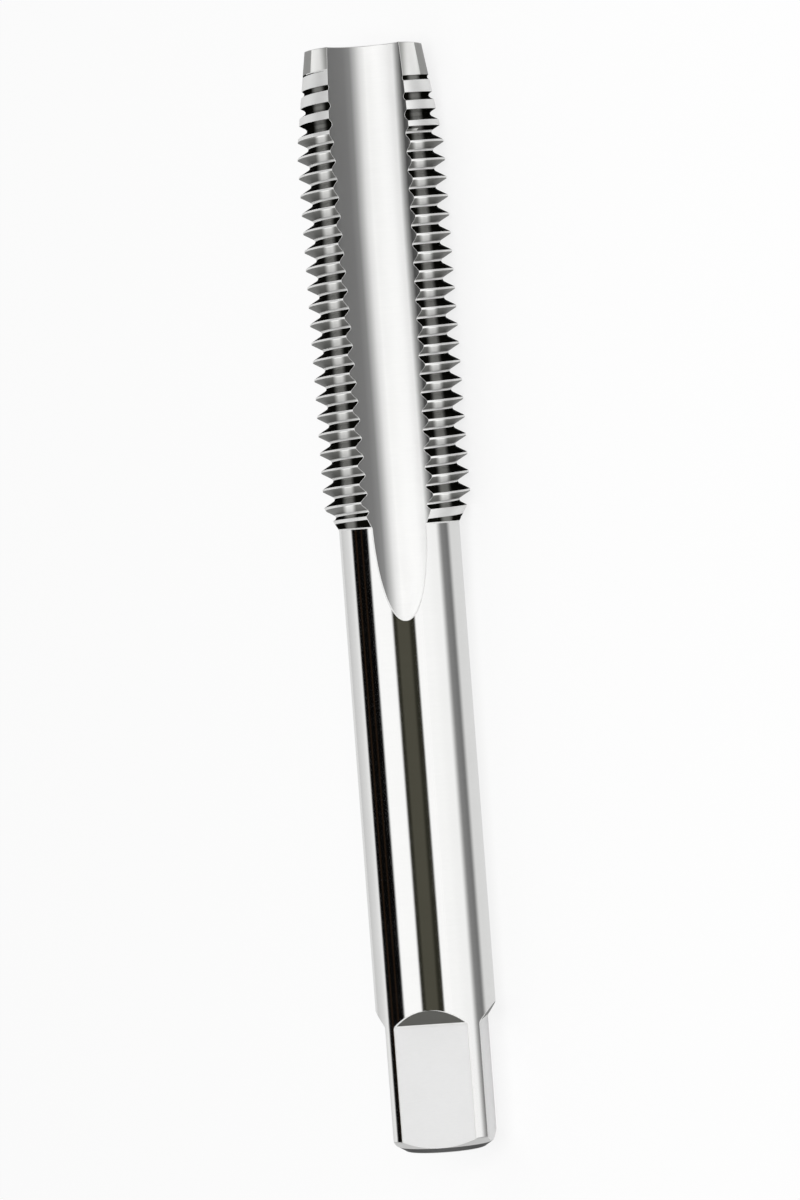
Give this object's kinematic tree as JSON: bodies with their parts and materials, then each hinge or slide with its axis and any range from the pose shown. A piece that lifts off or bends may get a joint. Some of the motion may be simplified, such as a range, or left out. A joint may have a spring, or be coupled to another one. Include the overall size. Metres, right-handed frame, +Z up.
{
  "type": "thread tap",
  "caption": "Straight-fluted hand tap with a tapered lead, a plain round shank and a driving square, for cutting an internal right-hand thread.",
  "frame": {"origin": "on the surface that the tap lies on, under the middle of its bounding box", "axes": "+Y along the tap's axis towards the cutting tip, +Z up, +X to the side that shows in the picture"},
  "size_m": [0.01, 0.075, 0.0094],
  "materials": {
    "tool_steel": "bright ground"
  },
  "bodies": {
    "root": {"hand_tap": "tool_steel"}
  },
  "joints": []
}
